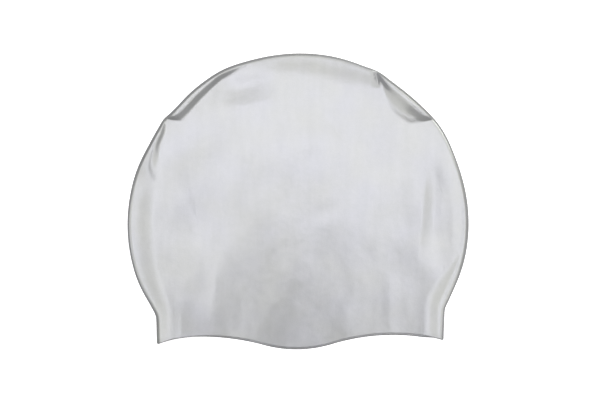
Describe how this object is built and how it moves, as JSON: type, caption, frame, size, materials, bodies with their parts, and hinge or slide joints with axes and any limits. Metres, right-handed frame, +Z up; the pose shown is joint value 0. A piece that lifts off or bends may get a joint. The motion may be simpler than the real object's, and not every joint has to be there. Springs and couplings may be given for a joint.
{
  "type": "silicone hair highlighting cap",
  "caption": "Silver silicone hair cap lying flat, with a round crown, two short ears, a wavy mouth edge and a thickened rim; worn stretched over the head.",
  "frame": {"origin": "middle of the cap's outline, on the table that its back wall lies on", "axes": "+Z up through the flat cap from the back wall to the front wall, +Y from the mouth to the crown, +X across the cap to the right"},
  "size_m": [0.22, 0.1905, 0.01],
  "materials": {
    "cap_silicone": "satin pearl silver",
    "rim_silicone": "satin pearl silver"
  },
  "bodies": {
    "root": {"front_wall": "cap_silicone", "back_wall": "cap_silicone", "crown_fold": "cap_silicone", "left_ear_fold": "cap_silicone", "right_ear_fold": "cap_silicone", "front_rim": "rim_silicone", "back_rim": "rim_silicone"}
  },
  "joints": []
}
